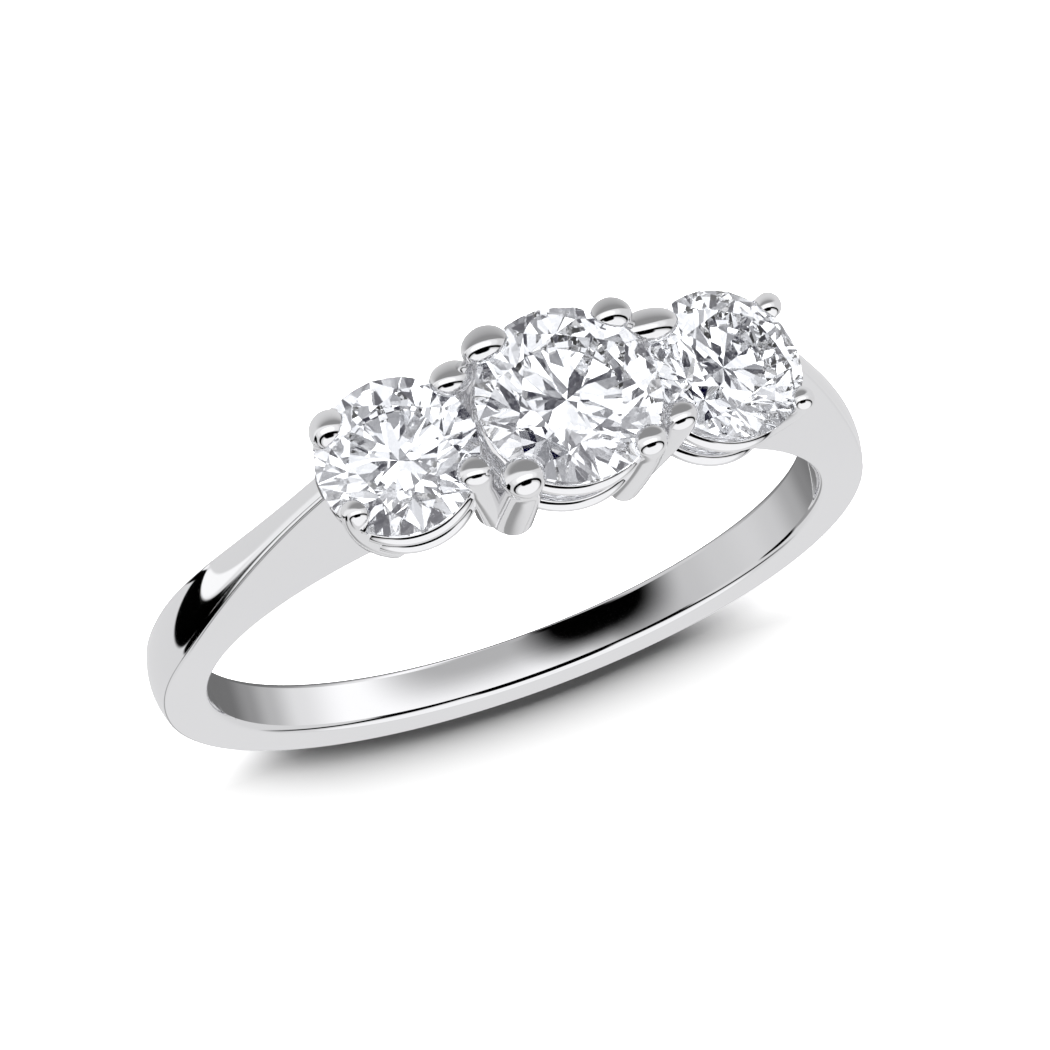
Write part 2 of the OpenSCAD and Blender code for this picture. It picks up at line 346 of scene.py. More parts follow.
# %% [markdown]
# The outline of one section is drawn from the middle of the bore, round the edge and up the side to
# the crown. Two small things in it make the likeness. The bore is domed by a hundredth of a
# millimetre, so its width mirrors a range of heights and not one. Its rim has a narrow flat facet,
# which draws the fine dark line there. The facet stays crisp through edges marked sharp: a plain
# smooth rim blurs the line, and a bevel modifier would round it off.

# %% Band and shoulders
BAND_ROWS = 480
BORE_BEVEL, CROWN_H = 0.17, 0.14
COMFORT, COMFORT_POWER = 0.0105, 2
RIM_LEAN, RIM_SHARE, RIM_TURN = np.radians(24), 0.2, 0.12
SHARP_FROM = np.radians(15)
ROUND = np.linspace(0, 1, 9)[None, :]
FLAT = np.array([[0.02, 0.1, 0.3, 0.5, 0.7, 0.9, 0.98]])
TO_RIM = np.linspace(0, 1, 17)[None, 1:-1]


def rim(half_w):
    """Radius and z from the bore's dome over the rim facet and a quarter round to the side."""
    base_r, base_z = BORE_R + COMFORT, half_w - BORE_BEVEL
    facet_r = BORE_BEVEL * RIM_SHARE * np.sin(RIM_LEAN)
    facet_z = BORE_BEVEL * RIM_SHARE * np.cos(RIM_LEAN)
    first = RIM_LEAN + RIM_TURN
    turn = mix(first, np.pi / 2, ROUND)
    share_r = (np.cos(first) - np.cos(turn)) / np.cos(first)
    share_z = (np.sin(turn) - np.sin(first)) / (1 - np.sin(first))
    z = base_z + facet_z + (BORE_BEVEL - facet_z) * share_z
    radius = base_r + facet_r + (BORE_BEVEL - facet_r) * share_r + 0 * half_w
    return np.hstack([base_r + 0 * half_w, radius]), np.hstack([base_z, z])


def band_grid():
    """The band as a grid: rows are sections at equal angles, columns run round a section.

    Half a section, as radius and z: the bore r + c s^2, the rim, the side, an arc that leaves the
    side square, and the crown r - h (z / f)^2. Its mirror image closes the section.
    """
    turn = np.linspace(-BAND_END, BAND_END, BAND_ROWS)[:, None]
    half_w, face_w, outer = band_sizes(np.abs(turn))
    crown = CROWN_H * face_w / (SIDE_W / 2)
    edge = outer - crown - EDGE_R
    lean = np.arctan2(half_w - face_w - EDGE_R, edge - BORE_R - BORE_BEVEL)
    arc = mix(lean, np.pi / 2, ROUND)
    side_r, side_z = edge + EDGE_R * np.sin(lean), face_w + EDGE_R * np.cos(lean)
    top = ROUND[:, 1:]
    parts = [
        (BORE_R + COMFORT * TO_RIM ** COMFORT_POWER + 0 * half_w, (half_w - BORE_BEVEL) * TO_RIM),
        rim(half_w),
        (mix(BORE_R + COMFORT + BORE_BEVEL, side_r, FLAT), mix(half_w, side_z, FLAT)),
        (edge + EDGE_R * np.sin(arc), face_w + EDGE_R * np.cos(arc)),
        (outer - crown * (1 - top) ** 2, face_w * (1 - top)),
    ]
    radius, z = (np.hstack(columns) for columns in zip(*parts))
    radius, z = np.hstack([radius, radius[:, -2::-1]]), np.hstack([z, -z[:, -2::-1]])
    a = np.radians(turn)
    points = np.stack([radius * np.sin(a), -radius * np.cos(a), z], axis=-1)
    for side in (-1, 1):
        points = cut_seat(side, points)
    return points


band = metal_piece("band", [closed_skin(band_grid())], flat_ends=True)
band.data.set_sharp_from_angle(angle=SHARP_FROM)

# %% [markdown]
# A claw is a round wire. It is soldered low down beside the finger hole, leans out past the stone's
# girdle and ends in a bead that presses on the crown. Its middle line is a Bezier curve. Where the
# claws of two stones meet at their feet, their places are worked out from each other, so a change
# of stone size moves all of them together.

# %% Feet of the claws
CLAW_D = 0.7
FOOT_ALONG, FOOT_ACROSS, FOOT_PITCH, FOOT_SINK = 0.6, 0.62, 0.9, 0.15
CLAWS = [(side, along, across) for side in SIDES for along in (-1, 1) for across in (-1, 1)]

centre_foot = np.array([FOOT_ALONG, FOOT_ACROSS]) * CENTRE_R
inner_foot = centre_foot + FOOT_PITCH * CLAW_D * np.sqrt(0.5) * np.array([1, -1])
outer_angle = np.radians(END_ANGLE) - (CLAW_D / 2 - FOOT_SINK) / BORE_R
outer_foot = np.array([BORE_R * np.sin(outer_angle), END_W / 2])


def claw_foot(side, along):
    """Where a claw stands, along and across. A side stone's inner feet touch the centre's."""
    place = centre_foot if side == 0 else outer_foot if along == side else inner_foot
    return (along if side == 0 else side) * place[0], place[1]


print("feet at", centre_foot.round(2), inner_foot.round(2), outer_foot.round(2), "mm")

# %% [markdown]
# The beads are pushed over by hand, and no two are alike, so each has a row of its own: its
# diameter, how far it is stretched along the row, and how far it leans from the regular place. A
# random spread would look as lively, but it would not look like this ring.

# %% Beads
# stone, place along the row and across it: diameter, stretch, shift along and across
BEADS = {
    (-1, -1, -1): (1.0, 1.0, 0.3, 0.16), (-1, -1, 1): (0.74, 1.0, 0.24, -0.26),
    (-1, 1, -1): (0.84, 1.2, 0.22, 0.0), (-1, 1, 1): (0.8, 1.1, 0.0, -0.2),
    (0, -1, -1): (0.9, 1.25, 0.08, 0.06), (0, -1, 1): (0.98, 1.05, -0.2, -0.015),
    (0, 1, -1): (0.84, 1.15, 0.0, 0.18), (0, 1, 1): (0.78, 1.1, -0.2, -0.03),
    (1, -1, -1): (0.88, 1.5, -0.1, 0.05), (1, -1, 1): (0.76, 1.1, -0.26, -0.1),
    (1, 1, -1): (0.68, 1.0, 0.0, 0.08), (1, 1, 1): (0.62, 1.0, -0.08, 0.08),
}
BEAD_UP, BEAD_FLAT, STEM_SHARE = 0.26, 0.8, 0.86
CENTRE_BEAD_OUT, SIDE_BEAD_OUT = 0.12, 0.04
CENTRE_CLAW_ANGLE, SIDE_CLAW_ANGLE = np.radians(48), np.radians(39)
bead_sizes = sorted(row[0] for row in BEADS.values())
print(len(BEADS), "beads from", bead_sizes[0], "to", bead_sizes[-1], "mm")

# %% [markdown]
# Each claw is a tube round its curve. Its radius swells near the end, and a flattened half ball
# closes it, as a cup bur leaves it. The path, its direction and its radius are kept, because the
# neighbours need them for the solder between.

# %% Paths of the claws
FOOT_UNDER, LEAN_DEPTH = 0.3, 1.1
FOOT_HOLD, GIRDLE_HOLD = 0.5, 0.4
SWELL_FROM = 0.72
STEM_ROWS, BEAD_ROWS, CLAW_SIDES = 72, 20, 40
BALL_END = 88


def bezier(p, t):
    """(1-t)^3 p0 + 3t(1-t)^2 p1 + 3t^2(1-t) p2 + t^3 p3."""
    t = t[:, None]
    s = 1 - t
    return s ** 3 * p[0] + 3 * t * s ** 2 * p[1] + 3 * t * t * s * p[2] + t ** 3 * p[3]


def unit(v):
    """Vectors of length one along the last axis."""
    return v / np.linalg.norm(v, axis=-1, keepdims=True)


def swollen(t):
    """0 along the stem and 1 at the bead."""
    return ease((t - SWELL_FROM) / (1 - SWELL_FROM))


def claw_path(side, along, across):
    """Middle, direction and radius of a claw and its bead, foot first."""
    bead_d, _, shift_x, shift_z = BEADS[side, along, across]
    foot_x, foot_z = claw_foot(side, along)
    r = stone_place(side)[0] + (CENTRE_BEAD_OUT if side == 0 else SIDE_BEAD_OUT)
    angle = CENTRE_CLAW_ANGLE if side == 0 else SIDE_CLAW_ANGLE
    x, z = along * np.cos(angle) * r, across * np.sin(angle) * r
    start = np.array([foot_x, np.sqrt(BORE_R ** 2 - foot_x ** 2) - FOOT_UNDER, across * foot_z])
    lean, girdle = (from_stone(side, [x, h, z]) for h in (-LEAN_DEPTH, 0))
    tip = from_stone(side, [x + shift_x, BEAD_UP, z + shift_z])
    curve = [start, mix(start, lean, FOOT_HOLD), mix(girdle, lean, GIRDLE_HOLD), tip]
    t = np.linspace(0, 1, STEM_ROWS)
    stem = bezier(curve, t)
    end = unit(curve[3] - curve[2])
    q = np.radians(np.linspace(0, BALL_END, BEAD_ROWS)[1:])
    middle = np.vstack([stem, tip + BEAD_FLAT * bead_d / 2 * np.sin(q)[:, None] * end])
    direction = np.vstack([unit(np.gradient(stem, axis=0))[:-1], np.tile(end, (BEAD_ROWS, 1))])
    stem_d = max(CLAW_D, STEM_SHARE * bead_d)
    radius = np.concatenate([mix(stem_d, bead_d, swollen(t)) / 2, bead_d / 2 * np.cos(q)])
    return middle, direction, radius


PATHS = {claw: claw_path(*claw) for claw in CLAWS}
for claw in CLAWS[::4]:
    steps = np.linalg.norm(np.diff(PATHS[claw][0], axis=0), axis=1)
    print("claw", claw, "is", round(float(steps.sum()), 2), "mm long")

# %% [markdown]
# Solder runs into the corner between two claws and leaves a hollow curve there. Each claw's points
# near a neighbour are moved out a little, and the two swellings meet. The finger hole and the three
# seats are then cut from the same points, so nothing of a claw is seen inside a clear stone.

# %% Claws
SOLDER, SOLDER_STEP = 0.85, 2


def tube(middle, along, radius, sides):
    """Rings of a given radius round a path, square to its direction: m + r (cos q u + sin q v)."""
    u = unit(np.cross(along, [1, 0, 0]))
    v = np.cross(along, u)
    q = np.linspace(0, 2 * np.pi, sides, endpoint=False)[None, :, None]
    circle = np.cos(q) * u[:, None] + np.sin(q) * v[:, None]
    return middle[:, None] + radius[:, None, None] * circle


def soldered(points, middle, reached):
    """Moves points out by k h^2 / 4 with h = 1 - |d| / k, where d is the way to a neighbour's skin.

    The neighbour is taken as balls along its path, one at every second row.
    """
    outward = unit(points - middle[:, None])
    swell = np.zeros(points.shape[:2])
    for path, _, radius in reached:
        away = points[:, :, None] - path[None, None, ::SOLDER_STEP]
        d = (np.linalg.norm(away, axis=-1) - radius[::SOLDER_STEP]).min(axis=-1)
        h = np.clip(1 - np.abs(d) / SOLDER, 0, None)
        swell = np.maximum(swell, SOLDER / 4 * h * h)
    return points + swell[..., None] * outward


def claw_grid(claw):
    """A claw's tube, its bead stretched along the row, soldered, bored and cut for the seats."""
    middle, direction, radius = PATHS[claw]
    points = tube(middle, direction, radius, CLAW_SIDES)
    wide = swollen(np.arange(len(middle)) / STEM_ROWS)[:, None]
    points[..., 0] += (points[..., 0] - middle[:, None, 0]) * (BEADS[claw][1] - 1) * wide
    near = [PATHS[other] for other in CLAWS if other != claw and other[2] == claw[2]]
    points = bored(soldered(points, middle, near))
    for side in SIDES:
        points = cut_seat(side, points)
    return points


def claws_of(name, side):
    """The four claws of a stone."""
    return metal_piece(name, [closed_skin(claw_grid(claw)) for claw in CLAWS if claw[0] == side])


centre_claws = claws_of("centre_claws", 0)
left_claws = claws_of("left_claws", -1)
right_claws = claws_of("right_claws", 1)

# %% [markdown]
# Two round wires run round each stone inside its claws: the gallery rails. They keep the claws at
# their distance and carry the stone. Each is a ring torus, the wire's circle carried round the
# stone's axis. Blender's own torus has the same shape, but it would have to be placed by hand.

# %% Gallery rails
RAIL_D = 0.44
UPPER_DEPTH, UPPER_IN = 0.76, 0.22
CENTRE_LOWER, SIDE_LOWER, LOWER_IN = 2.1, 1.8, 0.34
RAIL_ROWS, RAIL_SIDES = 180, 32


def rail_grid(side, depth, inset):
    """Torus round a stone's axis: radius R + r cos v and height -depth + r sin v, turned by u."""
    u = np.linspace(0, 2 * np.pi, RAIL_ROWS, endpoint=False)[:, None]
    v = np.linspace(0, 2 * np.pi, RAIL_SIDES, endpoint=False)[None, :]
    radius = stone_place(side)[0] - inset + RAIL_D / 2 * np.cos(v)
    height = -depth + RAIL_D / 2 * np.sin(v) + 0 * u
    return from_stone(side, np.stack([radius * np.cos(u), height, radius * np.sin(u)], axis=-1))


RAILS = [(side, UPPER_DEPTH, UPPER_IN) for side in SIDES]
RAILS += [(side, SIDE_LOWER if side else CENTRE_LOWER, LOWER_IN) for side in SIDES]
rails = metal_piece("gallery_rails", [closed_skin(rail_grid(*rail), turned=True) for rail in RAILS])

# %% [markdown]
# Colours and finishes are small networks of shader nodes. A few helpers keep each network short
# enough to read. Anything that more than one material needs becomes a node group with named
# sockets, because a copied network would have to be mended in two places.

# %% Node helpers
def wire(tree, source, target):
    """Links one socket to another, or sets the target's own value."""
    if isinstance(source, bpy.types.NodeSocket):
        tree.links.new(source, target)
    else:
        target.default_value = source


def shader_group(name, inputs, outputs):
    """An empty node group with named sockets: the group, what it is given and what it tells."""
    group = bpy.data.node_groups.new(name, "ShaderNodeTree")
    for way, sockets in (("INPUT", inputs), ("OUTPUT", outputs)):
        for label, kind in sockets:
            group.interface.new_socket(label, in_out=way, socket_type="NodeSocket" + kind)
    given, told = group.nodes.new("NodeGroupInput"), group.nodes.new("NodeGroupOutput")
    return group, given.outputs, told.inputs


def from_group(tree, group, *values):
    """Adds a group node with its inputs in order. Gives its outputs."""
    node = tree.nodes.new("ShaderNodeGroup")
    node.node_tree = group
    for socket, value in zip(node.inputs, values):
        wire(tree, value, socket)
    return node.outputs


def math(tree, operation, *values):
    """The result of one Math node."""
    node = tree.nodes.new("ShaderNodeMath")
    node.operation = operation
    for socket, value in zip(node.inputs, values):
        wire(tree, value, socket)
    return node.outputs[0]


def mixed(tree, share, first, second):
    """first + share (second - first), for colours."""
    node = tree.nodes.new("ShaderNodeMix")
    node.data_type = "RGBA"
    for number, value in ((0, share), (6, first), (7, second)):
        wire(tree, value, node.inputs[number])
    return node.outputs[2]


def noise(tree, where, scale):
    """A soft noise field from 0 to 1 at a point."""
    node = tree.nodes.new("ShaderNodeTexNoise")
    wire(tree, where, node.inputs["Vector"])
    node.inputs["Scale"].default_value = scale
    return node.outputs[0]


def split(tree, vector):
    """The x, y and z of a vector."""
    node = tree.nodes.new("ShaderNodeSeparateXYZ")
    wire(tree, vector, node.inputs[0])
    return node.outputs


def new_material(name):
    """A material with its tree, its Principled inputs and its Object coordinates."""
    material = bpy.data.materials.new(name)
    material.use_nodes = True
    tree = material.node_tree
    place = tree.nodes.new("ShaderNodeTexCoord").outputs["Object"]
    return material, tree, tree.nodes["Principled BSDF"].inputs, place


print("node helpers ready")

# %% [markdown]
# The metal is white gold with a mirror polish. On the real ring the band is finished on a wheel,
# but the claws and rails only meet a small brush and stay a little softer. Both come from one
# polish group, which turns two noise fields into a tint, a roughness and a very low height: hand
# polishing leaves long soft waves with fine lines over them. A single roughness looks like plastic.

# %% White gold
WAVE_SCALE, LINE_SCALE = 420, 5200
GOLD_DEEP, GOLD_PALE = (0.85, 0.85, 0.86, 1), (0.872, 0.871, 0.876, 1)
POLISH_HEIGHT = 3e-7


def polish_group():
    """n = (2 wave + line) / 3. Tint is n, roughness is low + (high - low) n and height is n."""
    inputs = (("Place", "Vector"), ("Low", "Float"), ("High", "Float"))
    outputs = (("Tint", "Float"), ("Roughness", "Float"), ("Height", "Float"))
    group, given, told = shader_group("polish", inputs, outputs)
    wave, line = noise(group, given["Place"], WAVE_SCALE), noise(group, given["Place"], LINE_SCALE)
    n = math(group, "DIVIDE", math(group, "ADD", math(group, "MULTIPLY", wave, 2.0), line), 3.0)
    spread = math(group, "SUBTRACT", given["High"], given["Low"])
    roughness = math(group, "ADD", given["Low"], math(group, "MULTIPLY", spread, n))
    wire(group, n, told["Tint"])
    wire(group, roughness, told["Roughness"])
    wire(group, n, told["Height"])
    return group


POLISH = polish_group()


def white_gold(name, low, high):
    """A conductor whose tint, roughness and bump come from the polish group."""
    material, tree, into, place = new_material(name)
    tint, roughness, height = from_group(tree, POLISH, place, low, high)
    wire(tree, mixed(tree, tint, GOLD_DEEP, GOLD_PALE), into["Base Color"])
    wire(tree, roughness, into["Roughness"])
    into["Metallic"].default_value = 1
    bump = tree.nodes.new("ShaderNodeBump")
    bump.inputs["Distance"].default_value = POLISH_HEIGHT
    wire(tree, height, bump.inputs["Height"])
    wire(tree, bump.outputs[0], into["Normal"])
    return material


WHEEL, BRUSH = (0.03, 0.06), (0.04, 0.09)
wheel_polished = white_gold("white_gold_wheel_polished", *WHEEL)
brush_polished = white_gold("white_gold_brush_polished", *BRUSH)
band.data.materials.append(wheel_polished)
for piece in (centre_claws, left_claws, right_claws, rails):
    piece.data.materials.append(brush_polished)
print("white gold: roughness", WHEEL, "on the band,", BRUSH, "on claws and rails")

# %% [markdown]
# The stones are diamonds cut as round brilliants: clear, with a very high refractive index. All
# their life comes from light that enters the crown, turns in the pavilion and leaves again, so the
# CAD solids keep their flat facets and nothing is painted on. Only a trace of cool tint varies
# inside. Clear glass would sparkle far less, because it bends light half as much.

# %% Diamond
DIAMOND_IOR = 2.417
DIAMOND_COOL, DIAMOND_CLEAR = (0.975, 0.985, 1, 1), (1, 1, 1, 1)
DIAMOND_SCALE = 300


def diamond():
    """A clear dielectric with a faint tint that drifts through the stone."""
    material, tree, into, place = new_material("diamond")
    drift = noise(tree, place, DIAMOND_SCALE)
    wire(tree, mixed(tree, drift, DIAMOND_COOL, DIAMOND_CLEAR), into["Base Color"])
    into["Transmission Weight"].default_value = 1
    into["Roughness"].default_value = 0
    into["IOR"].default_value = DIAMOND_IOR
    return material


brilliant = diamond()
for node_name in STONES:
    stone = frame["nodes"][node_name]
    stone.data.materials.clear()
    stone.data.materials.append(brilliant)
print("diamond on", ", ".join(STONES))

# %% [markdown]
# A polished ring shows its surroundings more than itself, so the studio is part of the likeness.
# A product photographer stands white and black cards round a ring: white cards make the bright
# faces, and black ones draw the dark lines. Here every card is a soft patch, a rounded rectangle
# with a blurred edge, laid over a plain grey. The same group serves the floor and the sky. Real
# card objects would do too, but they would get into the way of the shadow.

# %% Soft patches
PATCH_POWER = 3.0


def patch_group():
    """Mask of a rounded patch: 1 inside it and 0 outside.

    Its edge is where ((|u| / a)^3 + (|v| / b)^3)^(1/3) goes from 1 - soft to 1 + soft.
    """
    names = ("U", "V", "Centre U", "Centre V", "Half U", "Half V", "Soft")
    inputs = [(name, "Float") for name in names]
    group, given, told = shader_group("soft_patch", inputs, (("Mask", "Float"),))
    du = math(group, "WRAP", math(group, "SUBTRACT", given["U"], given["Centre U"]), 180.0, -180.0)
    dv = math(group, "SUBTRACT", given["V"], given["Centre V"])
    shares = [math(group, "ABSOLUTE", math(group, "DIVIDE", d, half))
              for d, half in ((du, given["Half U"]), (dv, given["Half V"]))]
    powers = [math(group, "POWER", share, PATCH_POWER) for share in shares]
    reach = math(group, "POWER", math(group, "ADD", *powers), 1 / PATCH_POWER)
    fall = group.nodes.new("ShaderNodeMapRange")
    fall.interpolation_type = "SMOOTHSTEP"
    wire(group, reach, fall.inputs["Value"])
    wire(group, math(group, "SUBTRACT", 1.0, given["Soft"]), fall.inputs["From Min"])
    wire(group, math(group, "ADD", 1.0, given["Soft"]), fall.inputs["From Max"])
    fall.inputs["To Min"].default_value = 1
    fall.inputs["To Max"].default_value = 0
    wire(group, fall.outputs["Result"], told["Mask"])
    return group


PATCH = patch_group()
COOL = 1.01


def grey(value):
    """A grey a trace cooler than neutral."""
    return value, value, value * COOL, 1


def patched(tree, colour, u, v, patches):
    """Lays patches over a colour. Each has a centre, two half sizes, a softness and a grey."""
    for *shape, value in patches:
        mask = from_group(tree, PATCH, u, v, *map(float, shape))["Mask"]
        colour = mixed(tree, mask, colour, grey(value))
    return colour


def mirrored(tree):
    """1 for a ray that has met only mirrors since the camera, so that a card throws no light."""
    path = tree.nodes.new("ShaderNodeLightPath").outputs
    straight = math(tree, "LESS_THAN", path["Diffuse Depth"], 0.5)
    return math(tree, "MULTIPLY", path["Is Glossy Ray"], straight)


print("a soft patch takes", len(PATCH.nodes), "nodes")

# %% [markdown]
# Mirrored rays see painted reflections on the floor: patches that the camera never sees. One of
# them is a black wedge with its corner close to the left shoulder, where it paints the spoon shaped
# reflection. A shoulder is a strongly curved mirror and squeezes whatever is far away, so places on
# the wedge are measured as an angle round its corner and the logarithm of the distance from it.
# A plain black square would mirror as a blot.

# %% Painted reflections on the floor
# grey of the floor's painted reflection, darker than the floor the camera sees
FLOOR_REFLECTION_GREY = 0.76
# a darker patch in front of the ring, seen only as a painted reflection
# centre, half sizes, softness, grey, in millimetres
FAR_DARK_REFLECTION = (0, -24, 13, 11.5, 0.15, 0.3)
WEDGE_AT = (9.4, -4.6)
WEDGE_SHEAR, WEDGE_END = 4.5, 6.3
# angle, log2 of the length, half sizes, softness, grey
WEDGE_PATCHES = (
    (-20, 7, 66, 4.2, 0.12, 0.96),
    (34, 1.5, 11, 2.2, 0.25, 1.1),
    (56, 0.5, 11.5, 8, 0.08, 0.0),
    (-20, 7, 70, 3.4, 0.06, 0.96),
)


def length(tree, a, b):
    """sqrt(a^2 + b^2)."""
    squares = [math(tree, "MULTIPLY", value, value) for value in (a, b)]
    return math(tree, "SQRT", math(tree, "ADD", *squares))


def painted_floor_reflections(tree, x, y):
    """Painted reflection: what the metal sees of the floor at a point in millimetres."""
    colour = tree.nodes.new("ShaderNodeRGB").outputs[0]
    colour.default_value = grey(FLOOR_REFLECTION_GREY)
    colour = patched(tree, colour, x, y, (FAR_DARK_REFLECTION,))
    along, across = (math(tree, "SUBTRACT", value, at) for value, at in zip((x, y), WEDGE_AT))
    far = math(tree, "LOGARITHM", length(tree, along, across), 2.0)
    far = math(tree, "MINIMUM", far, WEDGE_END)
    angle = math(tree, "DEGREES", math(tree, "ARCTAN2", across, along))
    angle = math(tree, "ADD", angle, math(tree, "MULTIPLY", far, WEDGE_SHEAR))
    return patched(tree, colour, angle, far, WEDGE_PATCHES)


print("wedge with", len(WEDGE_PATCHES), "patches from", WEDGE_AT, "mm")

# %% [markdown]
# The floor itself is a plain pale sheet. To the camera and to soft light it is matt white. It glows
# with painted light in front of the ring, inside it and at its two ends, as a retoucher lifts those
# parts, so a shadow is left only behind. Rays that the metal mirrors see painted reflections of
# cards, and inside the finger hole they pass through, down to shades of their own. A switch by kind
# of ray keeps all of that in one sheet, where real cards would throw shadows and show in the
# picture.

# %% Floor
FLOOR_Z = float(CAD_BOX[0][2])
FLOOR_HALF = 0.6
FLOOR_MATT, FLOOR_WHITE = (0.94, 0.94, 0.94, 1), (0.96, 0.96, 0.96, 1)
FLOOR_SCALE = 30
FLOOR_ROUGH, FLOOR_SHEEN = 0.8, 0.1
HOLE_REACH = 9.0
# centre, half sizes, softness, brightness: the first by distance from the middle, the next by y
GLOW_ROUND = (0, 0, 9.2, 1, 0.03, 1.0)
GLOW_FRONT = (0, -193, 1000, 200, 0.012, 1.0)
GLOW_ENDS = ((9, 6.5, 4.8, 6.2, 0.35, 1.0), (-11, 6.5, 4.2, 6, 0.35, 1.0))


def blend(tree, share, first, second):
    """A Mix Shader's result."""
    node = tree.nodes.new("ShaderNodeMixShader")
    wire(tree, share, node.inputs[0])
    tree.links.new(first, node.inputs[1])
    tree.links.new(second, node.inputs[2])
    return node.outputs[0]


def floor_material():
    """Matt white to the camera, painted reflections to the metal, open to it in the finger hole."""
    material, tree, into, place = new_material("floor")
    fibres = noise(tree, place, FLOOR_SCALE)
    wire(tree, mixed(tree, fibres, FLOOR_MATT, FLOOR_WHITE), into["Base Color"])
    into["Roughness"].default_value = FLOOR_ROUGH
    into["Specular IOR Level"].default_value = FLOOR_SHEEN
    x, y = (math(tree, "DIVIDE", value, MM) for value in tuple(split(tree, place))[:2])
    middle = length(tree, x, y)
    glow = patched(tree, grey(0), middle, 0.0, (GLOW_ROUND,))
    glow = patched(tree, glow, 0.0, y, (GLOW_FRONT,))
    wire(tree, patched(tree, glow, x, y, GLOW_ENDS), into["Emission Color"])
    into["Emission Strength"].default_value = 1
    # emission that only mirrored rays see: the floor's painted reflection
    cards = tree.nodes.new("ShaderNodeEmission")
    wire(tree, painted_floor_reflections(tree, x, y), cards.inputs["Color"])
    clear = tree.nodes.new("ShaderNodeBsdfTransparent").outputs[0]
    in_metal = blend(tree, math(tree, "LESS_THAN", middle, HOLE_REACH), cards.outputs[0], clear)
    surface = blend(tree, mirrored(tree), tree.nodes["Principled BSDF"].outputs[0], in_metal)
    tree.links.new(surface, tree.nodes["Material Output"].inputs["Surface"])
    return material


floor_mesh = bpy.data.meshes.new("floor")
signs = ((-1, -1), (1, -1), (1, 1), (-1, 1))
corners = [(x * FLOOR_HALF, y * FLOOR_HALF, FLOOR_Z) for x, y in signs]
floor_mesh.from_pydata(corners, [], [(0, 1, 2, 3)])
floor = bpy.data.objects.new("floor", floor_mesh)
bpy.context.scene.collection.objects.link(floor)
floor.visible_transmission = False
floor_mesh.materials.append(floor_material())
floor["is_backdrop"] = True
print("floor at", round(FLOOR_Z / MM, 3), "mm")

# %% [markdown]
# The sky round the ring holds the other cards, by azimuth from the camera's side and elevation. A
# long narrow black one draws the dark line inside the rim and the bars on the beads. Below the
# horizon are the shades that show through the finger hole, measured in the ring's own frame. There
# the band is close to a plain cylinder, so a shade's azimuth is simply a place along the band.

# %% Sky
SKY_GREY = 0.755
# azimuth, elevation, half sizes, softness, grey
SKY_PATCHES = (
    (0, 78, 400, 34, 0.1, 1.05),
    (-168, 22, 30, 18, 0.4, 0.8),
    (15, 12, 62, 15, 0.12, 0.95),
    (14, 15, 38, 12, 0.15, 1.25),
    (10, 32, 140, 5.5, 0.2, 0.0),
    (14, 41, 33, 12.5, 0.15, 0.0),
    (155, 2, 30, 6, 0.3, 0.35),
    (116, 6.5, 22, 8.5, 0.12, 0.0),
)
# azimuth and grey
HOLE_SHADES = (
    (-180, 0.2), (-150, 0.17), (-133, 0.18), (-117, 0.32), (-104, 0.52), (-87, 0.85), (-63, 1.15),
    (30, 1.15), (40, 0.95), (47, 0.65), (56, 0.58), (65, 0.55), (79, 0.62), (94, 0.68),
    (112, 0.73), (127, 0.67), (146, 0.45), (163, 0.26), (180, 0.2),
)
# azimuth, elevation, half sizes, softness, grey
HOLE_PATCHES = ((-8, -25.5, 38, 11.7, 0.4, 0.5), (40, -22.6, 28, 10.4, 0.34, 0.0))
HOLE_LOWEST = -20.5


def ramp(tree, share, stops, interpolation):
    """A colour ramp through (position, colour) stops."""
    node = tree.nodes.new("ShaderNodeValToRGB")
    node.color_ramp.interpolation = interpolation
    elements = node.color_ramp.elements
    while len(elements) < len(stops):
        elements.new(1)
    for element, (position, colour) in zip(elements, stops):
        element.position = position
        element.color = colour
    wire(tree, share, node.inputs[0])
    return node.outputs[0]


def angles(tree, direction):
    """Azimuth atan2(x, -y) and elevation asin(z) of a direction, in degrees."""
    x, y, z = split(tree, direction)
    azimuth = math(tree, "DEGREES", math(tree, "ARCTAN2", x, math(tree, "MULTIPLY", y, -1.0)))
    return azimuth, math(tree, "DEGREES", math(tree, "ARCSINE", z))


def sky_cards(tree, direction):
    """The cards above the horizon, and below it the shades seen through the finger hole."""
    azimuth, elevation = angles(tree, direction)
    above = tree.nodes.new("ShaderNodeRGB").outputs[0]
    above.default_value = grey(SKY_GREY)
    above = patched(tree, above, azimuth, elevation, SKY_PATCHES)
    stood = tree.nodes.new("ShaderNodeVectorRotate")
    stood.rotation_type = "X_AXIS"
    stood.inputs["Angle"].default_value = float(np.arctan2(AXIS_Y, AXIS_Z))
    wire(tree, direction, stood.inputs["Vector"])
    turn, down = angles(tree, stood.outputs[0])
    share = math(tree, "ADD", math(tree, "DIVIDE", turn, 360.0), 0.5)
    stops = [((at + 180) / 360, grey(value)) for at, value in HOLE_SHADES]
    below = ramp(tree, share, stops, "EASE")
    below = patched(tree, below, turn, math(tree, "MAXIMUM", down, HOLE_LOWEST), HOLE_PATCHES)
    return mixed(tree, math(tree, "LESS_THAN", elevation, 0.0), above, below)


print("sky:", len(SKY_PATCHES), "cards above,", len(HOLE_SHADES), "shades below")

# %% [markdown]
# A cut stone breaks its surroundings into small pieces, so smooth cards would leave it flat. A
# jeweller's light tent has many small lamps and gaps. Here the stones see cells of random shade,
# from black to brighter than white. Diffuse light, which only fills shadows, sees a dim even grey.

# %% Light for the stones and for shadows
CELL_SCALE = 4.0
CELL_SHIFT = (3.1, 2.17, 4.03)
CELL_SHADES = ((0.0, 0.0), (0.3, 0.02), (0.34, 0.35), (0.42, 0.75), (0.56, 1.2), (0.8, 2.6))
CELL_TINT = np.array([1.0, 1.015, 1.04])
CELL_BLUE = 0.02
FILL_GREY = 0.07


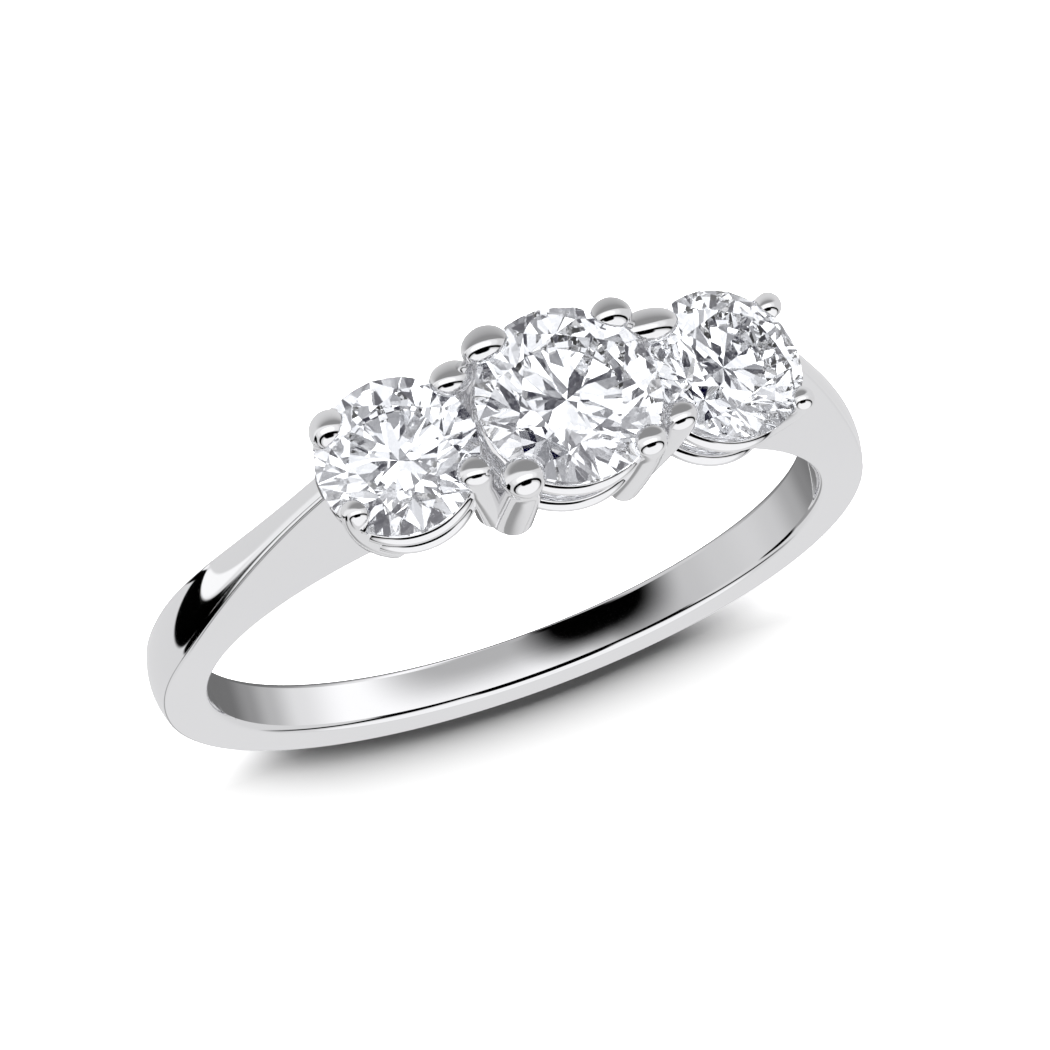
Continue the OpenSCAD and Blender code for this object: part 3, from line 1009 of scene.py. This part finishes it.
def cell_light(tree, direction):
    """A grey of its own for each Voronoi cell of the sphere of directions, a trace blue."""
    cells = tree.nodes.new("ShaderNodeTexVoronoi")
    cells.inputs["Scale"].default_value = CELL_SCALE
    shifted = tree.nodes.new("ShaderNodeVectorMath")
    wire(tree, direction, shifted.inputs[0])
    shifted.inputs[1].default_value = CELL_SHIFT
    wire(tree, shifted.outputs[0], cells.inputs["Vector"])
    random = tree.nodes.new("ShaderNodeSeparateColor")
    wire(tree, cells.outputs["Color"], random.inputs[0])
    stops = [(at, [*(value * CELL_TINT + [0, 0, CELL_BLUE]), 1]) for at, value in CELL_SHADES]
    return ramp(tree, random.outputs[0], stops, "CONSTANT")


def studio():
    """The world: cells for rays in the stones, cards for the metal and a dim fill for the rest."""
    world = bpy.data.worlds.new("studio")
    world.use_nodes = True
    tree = world.node_tree
    direction = tree.nodes.new("ShaderNodeTexCoord").outputs["Generated"]
    path = tree.nodes.new("ShaderNodeLightPath").outputs
    near = math(tree, "LESS_THAN", path["Diffuse Depth"], 0.5)
    colour = mixed(tree, mirrored(tree), grey(FILL_GREY), sky_cards(tree, direction))
    in_stone = math(tree, "MULTIPLY", path["Is Transmission Ray"], near)
    colour = mixed(tree, in_stone, colour, cell_light(tree, direction))
    wire(tree, colour, tree.nodes["Background"].inputs["Color"])
    return world


bpy.context.scene.world = studio()
print("studio:", len(CELL_SHADES), "shades in the cells, fill", FILL_GREY)

# %% [markdown]
# One wide low lamp stands behind the camera. It whitens the floor and casts the single soft
# shadow behind the band. Only the band casts it, since the photograph has no shadow of the setting.
# The lamp is not seen in metal or stones: its reflections are the cards' work. Standard view
# transform keeps white paper white, and enough bounces let light find its way out of the stones.

# %% Lamp and light paths
LAMP_DISTANCE, LAMP_AZIMUTH, LAMP_ELEVATION = 1.5, 12, 10.7
LAMP_WIDTH, LAMP_HEIGHT, LAMP_WATTS = 0.7, 0.31, 172
LIGHT_BOUNCES, STONE_BOUNCES = 24, 16

lamp = bpy.data.lights.new("front_lamp", "AREA")
lamp.shape = "RECTANGLE"
lamp.size, lamp.size_y = LAMP_WIDTH, LAMP_HEIGHT
lamp.energy = LAMP_WATTS
front = towards(LAMP_AZIMUTH, LAMP_ELEVATION)
lamp_object = placed(bpy.data.objects.new("front_lamp", lamp), LAMP_DISTANCE * front, facing(front))
lamp_object.visible_glossy = False
lamp_object.visible_transmission = False
casters = bpy.data.collections.new("casts_the_shadow")
casters.objects.link(band)
lamp_object.light_linking.blocker_collection = casters
bpy.context.scene.view_settings.view_transform = "Standard"
cycles = bpy.context.scene.cycles
cycles.max_bounces = LIGHT_BOUNCES
cycles.glossy_bounces = STONE_BOUNCES
cycles.transmission_bounces = STONE_BOUNCES
print("lamp", LAMP_WATTS, "W at", LAMP_ELEVATION, "degrees")

# %% [markdown]
# The last cell prints the bounds of the CAD next to those of everything that stands for it now.
# The visual model has to stay inside the CAD's box, or the library would place it wrongly.

# %% Sizes
sizes = {"cad": [[float(v) for v in corner] for corner in CAD_BOX],
         "visual": [[float(v) for v in corner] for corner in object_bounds()]}
for name, (low, high) in sizes.items():
    print(name, "size in mm", [round((b - a) / MM, 3) for a, b in zip(low, high)])
